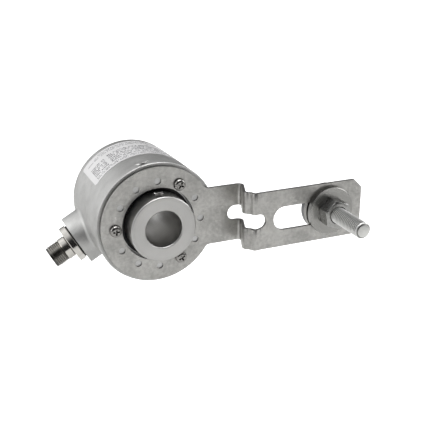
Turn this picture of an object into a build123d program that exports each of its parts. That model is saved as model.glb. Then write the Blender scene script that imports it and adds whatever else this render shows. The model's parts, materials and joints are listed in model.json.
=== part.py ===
from build123d import *
import math
import os

# Hollow-shaft rotary encoder with a radial plug connector and a sheet-metal torque arm.
# Millimetres. The shaft axis lies along Y with the clamping hub towards -Y, the torque arm
# runs along +X and +Z is up. The origin is on the shaft axis at the torque arm's front face.

# ---------------------------------------------------------------- driving dimensions
BODY_R = 29.9              # housing outside radius at the front, largest because of the draft
BODY_REAR_R = 28.8
INNER_R = 26.5
BODY_FRONT = 1.9           # the housing starts just behind the torque arm's ring
BODY_REAR = 49.0
COVER_REAR = 52.0          # rear face of the rear cover
BORE_R = 9.0               # through bore that takes the customer's shaft
HUB_R = 16.0
HUB_FRONT = -7.6
SHEET = 1.5                # torque arm sheet thickness
RING_R = 28.4
RING_HOLE_R = 18.1
HOLE_CIRCLE_R = 21.4       # twelve holes round the ring, three of them hold screws
ARM_HALF = 14.5
ARM_END = 101.2
ARM_OFFSET = -16.6         # front face of the arm's outer part
STUD_X = 83.0
STUD_Z = 0.8               # the stud isn't quite in the middle of its slot
CONNECTOR_Y = 37.1
CONNECTOR_ANGLE = 209.0    # degrees from +X towards +Z
SLIP = 0.05                # gap left between faces that slide or are a close fit

# ---------------------------------------------------------------- derived and stock sizes
DRAFT = (BODY_R - BODY_REAR_R) / (BODY_REAR - BODY_FRONT)
M3_R = 1.5
M3_HEAD_R = 2.9
M3_HEAD_H = 2.2
COVER_SCREW_R = 1.25
COVER_HEAD_R = 2.3
COVER_HEAD_H = 1.7
M8_R = 4.0
M8_PITCH_R = 3.6
M8_FLATS = 13.0

SHAFT_R = 12.5             # journal for 25 x 37 x 7 bearings
BEARING_R = 18.5
BEARING_WIDTH = 7.0
FRONT_BEARING_Y = 11.0
SPACER_LENGTH = 6.0
REAR_BEARING_Y = FRONT_BEARING_Y + BEARING_WIDTH + SPACER_LENGTH
REAR_BEARING_END = REAR_BEARING_Y + BEARING_WIDTH
BALL_R = 1.75
BALL_CIRCLE_R = (SHAFT_R + BEARING_R) / 2
BALL_COUNT = 14
RACE_LAND = 1.1            # from the ball circle to the edge of each ring

FLANGE_TUBE_R = 21.5
FLANGE_END = 35.5
FLANGE_DISC_END = 10.0
GRUB_Y = 4.7
GRUB_ANGLES = (100.0, 220.0, 340.0)

SEAL_R = 17.5
FRONT_SEAL_Y = (4.0, 9.0)
REAR_SEAL_Y = (46.2, 50.4)
SHAFT_END = 53.0

DISC_Y = 37.4
DISC_T = 1.0
DISC_R = 21.2
OPTICS_ANGLE = 80.0
OPTICS_R = 19.2

BOARD_Y = 42.0
BOARD_T = 1.6
BOARD_R = 26.2
POST_CIRCLE_R = 23.9
POST_ANGLES = (20.0, 140.0, 260.0)
COVER_SPIGOT_Y = 45.5

BOSS_R = 13.1
BOSS_END = 36.0            # distances along the connector axis start at the shaft axis
COLLAR_GAP = 0.7
COLLAR_END = 39.9
COLLAR_R = 10.1
COLLAR_FLATS = 17.6        # across its two wrench flats
THREAD_R = 6.0
THREAD_END = 51.0
GLAND_R = 8.0
GLAND_INNER = 28.2
SOCKET_R = 4.6
INSERT_FACE = 44.4


# ---------------------------------------------------------------- helpers
def turned(*points):
    """Solid of revolution about the shaft axis from (radius, y) corner points."""
    return revolve(make_face(Polyline(*points, close=True)), Axis.Y)


def ring(inner, outer, start, end):
    """Plain ring about the shaft axis."""
    return turned((inner, start), (outer, start), (outer, end), (inner, end))


def polar(radius, angle, y):
    """Point at a radius and angle round the shaft axis."""
    turn = math.radians(angle)
    return (radius * math.cos(turn), y, radius * math.sin(turn))


def front_facing(radius, angle, y):
    """Local frame whose +Z looks towards the front, -Y."""
    return Plane(origin=polar(radius, angle, y), x_dir=polar(1, angle, 0), z_dir=(0, -1, 0))


def rear_facing(radius, angle, y):
    """Local frame whose +Z looks towards the rear, +Y."""
    return Plane(origin=polar(radius, angle, y), x_dir=polar(1, angle, 0), z_dir=(0, 1, 0))


def radial(angle, y):
    """Local frame on the shaft axis whose +Z looks outwards along a radius."""
    return Plane(origin=(0, y, 0), x_dir=(0, 1, 0), z_dir=polar(1, angle, 0))


def rod(radius, start, end):
    """Cylinder on the local Z axis from start to end."""
    return Pos(0, 0, (start + end) / 2) * Cylinder(radius, end - start)


def tube(outer, inner, start, end):
    """Round tube on the local Z axis."""
    return rod(outer, start, end) - rod(inner, start, end)


def block(length, width, start, end):
    """Rectangular block on the local Z axis."""
    return Pos(0, 0, (start + end) / 2) * Box(length, width, end - start)


def hexagon(flats, start, end):
    """Hexagonal prism on the local Z axis with two flats facing local X."""
    outline = RegularPolygon(flats / 2, 6, major_radius=False, rotation=30)
    return Pos(0, 0, start) * extrude(outline, end - start)


def group(solids):
    """Several separate solids of one node."""
    return Compound(children=list(solids))


def chamfered_hexagon(flats, start, end, cone_top=True, cone_bottom=False):
    """Hexagon with its corners turned off at 30 degrees at one or both ends."""
    body = hexagon(flats, start, end)
    corner = flats / math.sqrt(3)
    drop = (corner - flats / 2) * math.tan(math.radians(30))
    reach = 0.1 * flats
    cut_r = corner + reach
    profile = [(0, start), (cut_r, start), (cut_r, end), (0, end)]
    fall = reach * math.tan(math.radians(30))
    if cone_top:
        profile[2:] = [(cut_r, end - drop - fall), (flats / 2, end), (0, end)]
    if cone_bottom:
        profile[:2] = [(0, start), (flats / 2, start), (cut_r, start + drop + fall)]
    outline = make_face(Polyline(*[(r, 0, z) for r, z in profile], close=True))
    return body & revolve(outline, Axis.Z)


def pan_screw(head_r, head_h, shank_r, length):
    """Domed cross-recess screw whose head stands on local z = 0."""
    head = rod(head_r, 0, head_h)
    head = fillet(head.edges().group_by(Axis.Z)[-1], head_h * 0.7)
    slot_l = head_r * 1.15
    slot_w = head_r * 0.3
    recess = block(slot_l, slot_w, head_h * 0.35, head_h + 1)
    recess += block(slot_w, slot_l, head_h * 0.35, head_h + 1)
    return head + rod(shank_r, -length, 0) - recess


def grub_screw(radius, start, end, socket):
    """Headless set screw with a hexagon socket at its outer end."""
    body = rod(radius, start, end)
    body = chamfer(body.edges().group_by(Axis.Z)[0], radius * 0.35)
    return body - hexagon(socket, end - socket, end + 1)


# ---------------------------------------------------------------- housing and its flange
BOSS_FILLET = 2.4
RIM_CHAMFER = 0.4
COVER_R = 27.0
HOLE_ANGLES = [30.0 * index for index in range(12)]
SCREW_ANGLES = (60.0, 180.0, 300.0)
HOLE_R = M3_R + 0.15
PIP_H = 0.9
ORING_R = 0.38
ORING_DEPTH = 0.8
ORING_HALF = 0.5
FLANGE_ORING_Y = 8.0
CIRCLIP_Y = 32.6
CIRCLIP_T = 1.2
CIRCLIP_GROOVE_R = 19.2
POST_PEG_R = 1.2
POST_FLATS = 4.0
GRUB_TIP = 24.6


def skin_radius(y):
    """Outside radius of the drafted housing at y."""
    return BODY_R - DRAFT * (y - BODY_FRONT)


def make_housing():
    """Cast cup that is open at both ends, with the connector boss on its side."""
    axis = radial(CONNECTOR_ANGLE, CONNECTOR_Y)
    casting_end = CONNECTOR_Y + BOSS_R + 8
    shell = turned(
        (0, BODY_FRONT), (BODY_R, BODY_FRONT), (skin_radius(casting_end), casting_end), (0, casting_end),
    )
    body = shell + axis * rod(BOSS_R, 10, BOSS_END)
    seams = [edge for edge in body.edges() if edge.geom_type not in (GeomType.CIRCLE, GeomType.LINE)]
    body = fillet(seams, BOSS_FILLET)
    rim = body.edges().filter_by(GeomType.CIRCLE).group_by(Axis.Y)[0]
    body = chamfer(rim, RIM_CHAMFER)
    body -= ring(0, 2 * BODY_R, BODY_REAR, casting_end + 1)
    body -= ring(0, INNER_R, BODY_FRONT - 1, BODY_REAR + 1)
    body -= axis * rod(GLAND_R + SLIP, 15, BOSS_END + 1)
    for angle in GRUB_ANGLES:
        body -= radial(angle, GRUB_Y) * rod(M3_R + SLIP, INNER_R - 1, BODY_R + 1)
    return body


def make_front_flange():
    """Bearing carrier that fills the front of the housing, with pips that locate the torque arm."""
    rim = INNER_R - SLIP
    throat = SEAL_R + 1.0
    lip = 15.0
    body = turned(
        (throat, SHEET), (rim, SHEET), (rim, FLANGE_DISC_END), (FLANGE_TUBE_R, FLANGE_DISC_END),
        (FLANGE_TUBE_R, FLANGE_END), (BEARING_R, FLANGE_END), (BEARING_R, FRONT_BEARING_Y),
        (lip, FRONT_BEARING_Y), (lip, FRONT_SEAL_Y[1]), (SEAL_R, FRONT_SEAL_Y[1]),
        (SEAL_R, FRONT_SEAL_Y[0]), (throat, FRONT_SEAL_Y[0]),
    )
    groove = (FLANGE_ORING_Y - ORING_HALF, FLANGE_ORING_Y + ORING_HALF)
    body -= ring(rim - ORING_DEPTH, rim + 1, *groove)
    body -= ring(BEARING_R - 1, CIRCLIP_GROOVE_R, CIRCLIP_Y, CIRCLIP_Y + CIRCLIP_T)
    for angle in HOLE_ANGLES:
        place = front_facing(HOLE_CIRCLE_R, angle, SHEET)
        if angle in SCREW_ANGLES:
            body -= place * rod(M3_R + SLIP, -6.5, 1)
        else:
            body += place * rod(HOLE_R - SLIP, -1, PIP_H)
    for angle in POST_ANGLES:
        body -= rear_facing(POST_CIRCLE_R, angle, FLANGE_DISC_END) * rod(POST_PEG_R + SLIP, -3, 1)
    for angle in GRUB_ANGLES:
        body -= radial(angle, GRUB_Y) * rod(M3_R + SLIP, GRUB_TIP, INNER_R + 1)
    return body


def make_flange_oring():
    return make_oring(INNER_R - SLIP - ORING_DEPTH / 2, FLANGE_ORING_Y, ORING_R)


def make_oring(circle_r, y, section_r):
    """O-ring about the shaft axis."""
    return revolve(Pos(circle_r, y) * Circle(section_r), Axis.Y)


def make_housing_grub_screws():
    end = BODY_R - 0.9
    return group(
        radial(angle, GRUB_Y) * grub_screw(M3_R, GRUB_TIP + 0.1, end, 1.5)
        for angle in GRUB_ANGLES
    )


# ---------------------------------------------------------------- rear cover
COVER_EDGE = 0.8
COVER_ORING_Y = 47.2


def make_rear_cover():
    """Cover with a spigot that closes the housing and carries the rear shaft seal."""
    spigot = INNER_R - 2 * SLIP
    throat = 14.2
    body = turned(
        (SEAL_R, COVER_SPIGOT_Y), (spigot, COVER_SPIGOT_Y), (spigot, BODY_REAR),
        (COVER_R, BODY_REAR), (COVER_R, COVER_REAR - COVER_EDGE), (COVER_R - COVER_EDGE, COVER_REAR),
        (throat, COVER_REAR), (throat, REAR_SEAL_Y[1]), (SEAL_R, REAR_SEAL_Y[1]),
    )
    groove = (COVER_ORING_Y - ORING_HALF, COVER_ORING_Y + ORING_HALF)
    body -= ring(spigot - ORING_DEPTH, spigot + 1, *groove)
    for angle in POST_ANGLES:
        frame = rear_facing(POST_CIRCLE_R, angle, COVER_REAR)
        body -= frame * rod(COVER_SCREW_R + SLIP, COVER_SPIGOT_Y - COVER_REAR - 1, 1)
        body -= frame * rod(COVER_HEAD_R + 0.2, -COVER_HEAD_H, 1)
    return body


def make_rear_cover_oring():
    return make_oring(INNER_R - 2 * SLIP - ORING_DEPTH / 2, COVER_ORING_Y, ORING_R)


def make_rear_cover_screws():
    seat = COVER_REAR - COVER_HEAD_H
    length = seat - (BOARD_Y - 7)
    return group(
        rear_facing(POST_CIRCLE_R, angle, seat)
        * pan_screw(COVER_HEAD_R, COVER_HEAD_H - 0.1, COVER_SCREW_R, length)
        for angle in POST_ANGLES
    )


def make_board_posts():
    """Threaded hexagon posts between the flange and the circuit board."""
    height = BOARD_Y - FLANGE_DISC_END
    post = hexagon(POST_FLATS, 0, height) + rod(POST_PEG_R, -2.8, 0)
    post -= rod(COVER_SCREW_R + 0.02, height - 8, height + 1)
    return group(rear_facing(POST_CIRCLE_R, angle, FLANGE_DISC_END) * post for angle in POST_ANGLES)


def make_board_spacers():
    """Short sleeves between the circuit board and the rear cover."""
    height = COVER_SPIGOT_Y - BOARD_Y - BOARD_T
    sleeve = tube(2.2, COVER_SCREW_R + SLIP, 0, height)
    return group(
        rear_facing(POST_CIRCLE_R, angle, BOARD_Y + BOARD_T) * sleeve for angle in POST_ANGLES
    )


# ---------------------------------------------------------------- torque arm
ARM_CHAMFER = 4.3
NECK_FILLET = 2.5
RELIEF_X = (35.6, 48.5)
RELIEF_HALF = 3.83
SLOT_X = (52.5, 93.0)
SLOT_HALF = 6.0


def make_torque_arm():
    """Ring and arm bent from one sheet, with a joggle that a relief slot makes springy."""
    front_edge = FilletPolyline(
        (20, 0), (42.6, 0), (37.9, -12.6), (41.0, -14.4), (42.3, -17.1),
        (45.5, ARM_OFFSET), (ARM_END, ARM_OFFSET),
        radius=[1.3, 3.2, 0.8, 2.0, 3.0],
    )
    profile = make_face(offset(front_edge, SHEET, side=Side.LEFT, closed=True).edges())
    body = extrude(profile, ARM_HALF, both=True)
    corners = body.edges().filter_by(Axis.Y).group_by(Axis.X)[-1]
    body = chamfer(corners, ARM_CHAMFER)
    body += ring(RING_HOLE_R - 1, RING_R, 0, SHEET)
    necks = body.edges().filter_by(Axis.Y).filter_by_position(Axis.X, 23, 26)
    body = fillet(necks, NECK_FILLET)
    body -= ring(0, RING_HOLE_R, -1, SHEET + 1)
    for angle in HOLE_ANGLES:
        body -= front_facing(HOLE_CIRCLE_R, angle, 0) * rod(HOLE_R, -SHEET - 1, 1)
    for low, high, half in ((RELIEF_X[0], RELIEF_X[1], RELIEF_HALF), (SLOT_X[0], SLOT_X[1], SLOT_HALF)):
        outline = SlotOverall(high - low, 2 * half)
        cutter = Plane(origin=((low + high) / 2, 10, 0), x_dir=(1, 0, 0), z_dir=(0, -1, 0))
        body -= extrude(cutter * outline, 40)
    return body


def make_torque_arm_screws():
    return group(
        front_facing(HOLE_CIRCLE_R, angle, 0) * pan_screw(M3_HEAD_R, M3_HEAD_H, M3_R, 7.0)
        for angle in SCREW_ANGLES
    )


# ---------------------------------------------------------------- torque stud and its hardware
WASHER_R = 12.0
WASHER_T = 2.5
NUT_H = 6.8
BOLT_HEAD_H = 5.3
BOLT_LENGTH = 40.0
LOCK_T = 2.0
NUT_TURN = 10.0            # how far the nut's flats stand from square to the arm
FRONT_STACK = ARM_OFFSET - SLIP
REAR_STACK = ARM_OFFSET + SHEET + SLIP


def stud_frame(y):
    """Local frame on the stud axis, +Z towards the front."""
    return Plane(origin=(STUD_X, y, STUD_Z), x_dir=(1, 0, 0), z_dir=(0, -1, 0))


def make_washer(y):
    """Large plain washer whose back face is at y."""
    body = tube(WASHER_R, M8_R + 0.25, 0, WASHER_T)
    rims = body.edges().filter_by(GeomType.CIRCLE).sort_by(SortBy.LENGTH)[-2:]
    return stud_frame(y) * chamfer(rims, 0.25)


def make_torque_nut():
    body = chamfered_hexagon(M8_FLATS, 0, NUT_H, cone_top=True, cone_bottom=True)
    body -= rod(M8_PITCH_R + 0.02, -1, NUT_H + 1)
    return stud_frame(FRONT_STACK - WASHER_T) * Rot(0, 0, NUT_TURN) * body


def make_torque_bolt():
    """Hexagon screw from behind; inside the nut its thread is drawn at the pitch radius."""
    under_head = REAR_STACK + 2 * WASHER_T + LOCK_T
    free_start = under_head - (FRONT_STACK - WASHER_T - NUT_H) + SLIP
    head = Rot(180, 0, 0) * chamfered_hexagon(M8_FLATS, 0, BOLT_HEAD_H)
    shank = rod(M8_PITCH_R, -BOLT_HEAD_H / 2, BOLT_LENGTH - 2)
    free = rod(M8_R, free_start, BOLT_LENGTH)
    free = chamfer(free.edges().group_by(Axis.Z)[-1], 1.0)
    return stud_frame(under_head) * (head + shank + free)


def make_lock_washer():
    """Split spring washer, pressed flat."""
    body = tube(7.3, M8_R + 0.15, 0, LOCK_T)
    body -= Pos(6, 0, LOCK_T / 2) * Rot(25, 0, 0) * Box(6, 0.8, 6)
    return stud_frame(REAR_STACK + 2 * WASHER_T + LOCK_T) * body


# ---------------------------------------------------------------- shaft and bearings
SHAFT_CLIP_R = 11.9
SET_SCREW_ANGLES = (90.0, 225.0)
SET_SCREW_Y = -2.6
SET_SCREW_R = 2.0
SHOULDER_R = 14.2          # collar that the front bearing stands against
SHOULDER_Y = 9.6
HUB_REAR = 3.0
BALL_ANGLES = [index * 360 / BALL_COUNT for index in range(BALL_COUNT)]
CAGE_HALF = 0.5
CAGE_WIDTH = 4.8
OUTER_SPACER_R = 16.9
INNER_SPACER_R = 14.1
SPRING_RADII = (16.8, 18.3)
SPRING_STRIP = 0.35
CLIP_INNER_R = 16.7
CLIP_OUTER_R = 14.3
CLIP_GAP = 5.0


def make_hollow_shaft():
    """Through shaft whose front end is the clamping hub."""
    edge = 0.5
    body = turned(
        (BORE_R, HUB_FRONT + edge), (BORE_R + edge, HUB_FRONT), (HUB_R - edge, HUB_FRONT),
        (HUB_R, HUB_FRONT + edge), (HUB_R, HUB_REAR), (SHAFT_R, HUB_REAR),
        (SHAFT_R, SHOULDER_Y), (SHOULDER_R, SHOULDER_Y), (SHOULDER_R, FRONT_BEARING_Y),
        (SHAFT_R, FRONT_BEARING_Y), (SHAFT_R, SHAFT_END - edge), (SHAFT_R - edge, SHAFT_END),
        (BORE_R + edge, SHAFT_END), (BORE_R, SHAFT_END - edge),
    )
    body -= ring(SHAFT_CLIP_R, SHAFT_R + 1, REAR_BEARING_END, REAR_BEARING_END + CIRCLIP_T)
    for angle in SET_SCREW_ANGLES:
        body -= radial(angle, SET_SCREW_Y) * rod(SET_SCREW_R + SLIP / 2, BORE_R - 2, HUB_R + 1)
    return body


def make_shaft_set_screws():
    return group(
        radial(angle, SET_SCREW_Y) * grub_screw(SET_SCREW_R, BORE_R + 0.2, HUB_R - 1.0, 2.0)
        for angle in SET_SCREW_ANGLES
    )


def race_groove(y):
    """Ball track that is cut into both rings of a bearing starting at y."""
    return make_oring(BALL_CIRCLE_R, y + BEARING_WIDTH / 2, BALL_R + SLIP)


def bearing_ring(inner, outer, y):
    """Bearing ring with chamfered corners and its ball track."""
    edge = 0.3
    end = y + BEARING_WIDTH
    body = turned(
        (inner + edge, y), (outer - edge, y), (outer, y + edge), (outer, end - edge),
        (outer - edge, end), (inner + edge, end), (inner, end - edge), (inner, y + edge),
    )
    return body - race_groove(y)


def make_outer_ring(y):
    return bearing_ring(BALL_CIRCLE_R + RACE_LAND, BEARING_R, y)


def make_inner_ring(y):
    return bearing_ring(SHAFT_R, BALL_CIRCLE_R - RACE_LAND, y)


def make_balls(y):
    middle = y + BEARING_WIDTH / 2
    return group(Pos(*polar(BALL_CIRCLE_R, angle, middle)) * Sphere(BALL_R) for angle in BALL_ANGLES)


def make_cage(y):
    """Band with one round pocket for each ball."""
    middle = y + BEARING_WIDTH / 2
    inner = BALL_CIRCLE_R - CAGE_HALF
    outer = BALL_CIRCLE_R + CAGE_HALF
    body = ring(inner, outer, middle - CAGE_WIDTH / 2, middle + CAGE_WIDTH / 2)
    for angle in BALL_ANGLES:
        body -= radial(angle, middle) * rod(BALL_R + SLIP, inner - 1, outer + 1)
    return body


def make_spacer(inner, outer):
    """Distance ring between the two bearings."""
    return ring(inner, outer, REAR_BEARING_Y - SPACER_LENGTH, REAR_BEARING_Y)


def make_wave_spring():
    """Preload washer bent into four waves, between the rear bearing and the retaining ring."""
    inner, outer = SPRING_RADII
    room = CIRCLIP_Y - REAR_BEARING_END - SLIP
    middle = (REAR_BEARING_END + CIRCLIP_Y) / 2
    height = (room - SPRING_STRIP) / 2
    quarter = outer / 4

    def wave(shift):
        points = [
            (index * quarter, middle + shift + height * math.cos(index * math.pi / 2))
            for index in range(-5, 6)
        ]
        return Spline(*points)

    low = wave(-SPRING_STRIP / 2)
    high = wave(SPRING_STRIP / 2)
    band = make_face([low, high, Line(low @ 0, high @ 0), Line(low @ 1, high @ 1)])
    blank = ring(inner, outer, REAR_BEARING_END - 1, CIRCLIP_Y + 1)
    return blank & extrude(band, outer + 1, both=True)


def make_retaining_ring():
    """Internal retaining ring in the flange, open between its two lugs."""
    outer = CIRCLIP_GROOVE_R - 2 * SLIP
    body = ring(CLIP_INNER_R, outer, CIRCLIP_Y, CIRCLIP_Y + CIRCLIP_T - SLIP)
    return body - Pos(0, CIRCLIP_Y, -outer) * Box(CLIP_GAP, 2 * CLIP_GAP, 2 * CLIP_GAP)


def make_shaft_retaining_ring():
    """External retaining ring behind the rear bearing."""
    start = REAR_BEARING_END + SLIP / 2
    body = ring(SHAFT_CLIP_R + SLIP, CLIP_OUTER_R, start, start + CIRCLIP_T - SLIP)
    return body - Pos(0, start, -CLIP_OUTER_R) * Box(CLIP_GAP, CLIP_GAP, 2 * CLIP_GAP)


def make_shaft_seal(y_range):
    """Radial lip seal: a channel section whose lip runs on the journal."""
    start, end = y_range
    skin = 1.0
    lip = SHAFT_R + SLIP
    return turned(
        (SEAL_R, start), (SEAL_R, end), (SEAL_R - skin, end), (SEAL_R - skin, start + skin),
        (lip + 1.6, start + skin), (lip + 1.4, start + 2.6), (lip + 0.6, start + 2.6),
        (lip, start + 2.0), (lip + 0.6, start),
    )


# ---------------------------------------------------------------- code disc and optics
HUB_DISC_Y = 34.2
DISC_HUB_R = 17.0
CLAMP_R = 16.0
CLAMP_END = 40.0
DISC_SCREW_ANGLES = (0.0, 120.0, 240.0)
DISC_SCREW_R = 14.4
RETICLE_Y = DISC_Y + DISC_T + 0.35
RETICLE_T = 0.7
LENS_R = 1.15
LENS_BASE = 0.4            # depth of the lens pocket's floor above the flange tube
DISC_SCREW_SHANK_R = 0.8
DISC_SCREW_LENGTH = 4.8
BOARD_INNER_R = 14.6
CHIP_SIZE = 6.5
CHIP_H = 1.2
CHIP_R = 19.8
CAPACITOR_SIZE = (3.2, 2.4, 1.5)
CAPACITOR_R = 19.5
CAPACITOR_ANGLES = (170.0, 190.0, 320.0, 335.0)
HEADER_R = 23.6
HEADER_DEPTH = 2.6
HEADER_WIDTH = 7.0
HEADER_HEIGHT = 3.4
LEAD_END = 28.6
LEAD_T = 0.4
LEAD_WIDTH = 6.0


def make_disc_hub():
    body = ring(SHAFT_R, DISC_HUB_R, HUB_DISC_Y, DISC_Y)
    for angle in DISC_SCREW_ANGLES:
        hole = rod(DISC_SCREW_SHANK_R + SLIP, CLAMP_END - DISC_Y - DISC_SCREW_LENGTH - SLIP, 1)
        body -= rear_facing(DISC_SCREW_R, angle, DISC_Y) * hole
    return body


def make_code_disc():
    body = ring(SHAFT_R + SLIP, DISC_R, DISC_Y, DISC_Y + DISC_T)
    for angle in DISC_SCREW_ANGLES:
        body -= rear_facing(DISC_SCREW_R, angle, DISC_Y) * rod(1.0, -1, DISC_T + 1)
    return body


def make_disc_clamp_ring():
    body = ring(SHAFT_R + SLIP, CLAMP_R, DISC_Y + DISC_T, CLAMP_END)
    for angle in DISC_SCREW_ANGLES:
        body -= rear_facing(DISC_SCREW_R, angle, DISC_Y) * rod(1.0, 0, CLAMP_END)
    return body


def make_disc_screws():
    screw = pan_screw(1.5, 0.9, DISC_SCREW_SHANK_R, DISC_SCREW_LENGTH)
    return group(
        rear_facing(DISC_SCREW_R, angle, CLAMP_END) * screw
        for angle in DISC_SCREW_ANGLES
    )


def optics(y):
    return rear_facing(OPTICS_R, OPTICS_ANGLE, y)


def make_light_source():
    """Light source carrier that stands on the end of the flange tube."""
    body = optics(FLANGE_END) * block(3.4, 6.0, 0, 1.1)
    return body - optics(FLANGE_END) * rod(LENS_R + SLIP, LENS_BASE, 2)


def make_collimator_lens():
    """Plano-convex lens: a short cylinder under a flat-topped dome."""
    edge = 0.7
    dome = Sphere(LENS_R) & block(2 * LENS_R, 2 * LENS_R, 0, 0.6)
    return optics(FLANGE_END + LENS_BASE) * (rod(LENS_R, 0, edge) + Pos(0, 0, edge) * dome)


def make_reticle():
    return optics(RETICLE_Y) * block(3.2, 6.4, 0, RETICLE_T)


def make_sensor_frame():
    """Moulded frame that holds the reticle in front of the sensor."""
    base = RETICLE_Y + RETICLE_T
    depth = BOARD_Y - base
    return optics(base) * (block(4.2, 8.4, 0, depth) - block(2.6, 5.0, -1, depth + 1))


def make_photo_sensor():
    return optics(BOARD_Y) * block(2.4, 4.6, -1.0, 0)


def make_circuit_board():
    """Ring-shaped circuit board with clearance holes for the cover screws."""
    body = ring(BOARD_INNER_R, BOARD_R, BOARD_Y, BOARD_Y + BOARD_T)
    for angle in POST_ANGLES:
        body -= rear_facing(POST_CIRCLE_R, angle, BOARD_Y) * rod(COVER_SCREW_R + 0.1, -1, BOARD_T + 1)
    return body


def on_board(radius, angle):
    return rear_facing(radius, angle, BOARD_Y + BOARD_T)


def make_interface_chip():
    return on_board(CHIP_R, OPTICS_ANGLE) * block(CHIP_SIZE, CHIP_SIZE, 0, CHIP_H)


def make_board_capacitors():
    length, width, height = CAPACITOR_SIZE
    return group(
        on_board(CAPACITOR_R, angle) * block(length, width, 0, height) for angle in CAPACITOR_ANGLES
    )


def make_board_header():
    """Small plug header on the front of the board, in line with the connector."""
    frame = rear_facing(HEADER_R, CONNECTOR_ANGLE, BOARD_Y)
    return frame * block(HEADER_DEPTH, HEADER_WIDTH, -HEADER_HEIGHT, 0)


def make_ribbon_lead():
    """Flat lead from the header to the back of the connector insert."""
    frame = radial(CONNECTOR_ANGLE, CONNECTOR_Y)
    across = Plane(origin=frame.origin, x_dir=frame.x_dir, z_dir=-frame.y_dir)
    start = HEADER_R + HEADER_DEPTH / 2
    half = LEAD_T / 2
    straight = 1.0
    rise = BOARD_Y - HEADER_HEIGHT / 2 - CONNECTOR_Y
    outline = Polyline(
        (rise - half, start), (rise + half, start), (rise + half, start + straight),
        (half, LEAD_END - straight), (half, LEAD_END), (-half, LEAD_END),
        (-half, LEAD_END - straight), (rise - half, start + straight), close=True,
    )
    return extrude(across * make_face(outline), LEAD_WIDTH / 2, both=True)


# ---------------------------------------------------------------- connector
PIN_R = 0.5
PIN_CIRCLE_R = 2.75
PIN_TIP = 49.6
GASKET_R = 9.1
INSERT_STEP = 0.6
INSERT_FLANGE = 3.0
KEY_DEPTH = 0.8
KEY_WIDTH = 1.2
KEY_LENGTH = 6.0
COLLAR_TURN = 130.0        # direction the wrench flats face, round the connector axis


def connector(shape):
    return radial(CONNECTOR_ANGLE, CONNECTOR_Y) * shape


def make_connector_shell():
    """Threaded plug shell with its collar and the gland that screws into the boss."""
    seat = BOSS_END + COLLAR_GAP
    throat = SOCKET_R - INSERT_STEP
    shelf = INSERT_FACE - INSERT_FLANGE
    gland = rod(GLAND_R, GLAND_INNER, seat)
    collar = rod(COLLAR_R, seat, COLLAR_END)
    collar = chamfer(collar.edges().filter_by(GeomType.CIRCLE), 0.3)
    collar &= Rot(0, 0, COLLAR_TURN) * block(COLLAR_FLATS, 3 * COLLAR_R, seat - 1, COLLAR_END + 1)
    barrel = rod(THREAD_R, seat, THREAD_END)
    barrel = chamfer(barrel.edges().group_by(Axis.Z)[-1], 0.5)
    body = gland + collar + barrel
    body -= rod(SOCKET_R, shelf, THREAD_END + 1)
    body -= rod(throat, GLAND_INNER - 1, INSERT_FACE)
    return connector(body)


def make_connector_gasket():
    return connector(tube(GASKET_R, GLAND_R + SLIP, BOSS_END, BOSS_END + COLLAR_GAP))


def make_connector_insert():
    """Moulded contact carrier with its coding key."""
    shelf = INSERT_FACE - INSERT_FLANGE
    body = rod(SOCKET_R - INSERT_STEP - SLIP, LEAD_END, shelf)
    body += rod(SOCKET_R - SLIP, shelf, INSERT_FACE)
    key = block(KEY_DEPTH, KEY_WIDTH, INSERT_FACE, INSERT_FACE + KEY_LENGTH)
    body += Pos(SOCKET_R - KEY_DEPTH / 2 - 2 * SLIP, 0, 0) * key
    for x, y in pin_places():
        body -= Pos(x, y, 0) * rod(PIN_R + 0.01, LEAD_END - 1, INSERT_FACE + 1)
    return connector(body)


def pin_places():
    """Four contacts on a circle and one in the middle, in the connector's frame."""
    places = [(0.0, 0.0)]
    for index in range(4):
        turn = math.radians(45 + 90 * index)
        places.append((PIN_CIRCLE_R * math.cos(turn), PIN_CIRCLE_R * math.sin(turn)))
    return places


def make_connector_pins():
    pin = rod(PIN_R, LEAD_END + 0.1, PIN_TIP)
    pin = fillet(pin.edges().group_by(Axis.Z)[-1], 0.3)
    return group(connector(Pos(x, y, 0) * pin) for x, y in pin_places())


# ---------------------------------------------------------------- label
LABEL_Y = (18.9, 45.0)
LABEL_ANGLES = (42.0, 146.0)
LABEL_T = 0.12


def make_rating_label():
    """Thin printed foil wrapped over the top of the housing."""
    start, end = LABEL_ANGLES
    low, high = LABEL_Y
    inside = (skin_radius(low), skin_radius(high))
    strip = make_face(Polyline(
        (inside[0], low), (inside[0] + LABEL_T, low), (inside[1] + LABEL_T, high), (inside[1], high), close=True,
    ))
    return Rot(0, -start, 0) * revolve(strip, Axis.Y, -(end - start))


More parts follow.
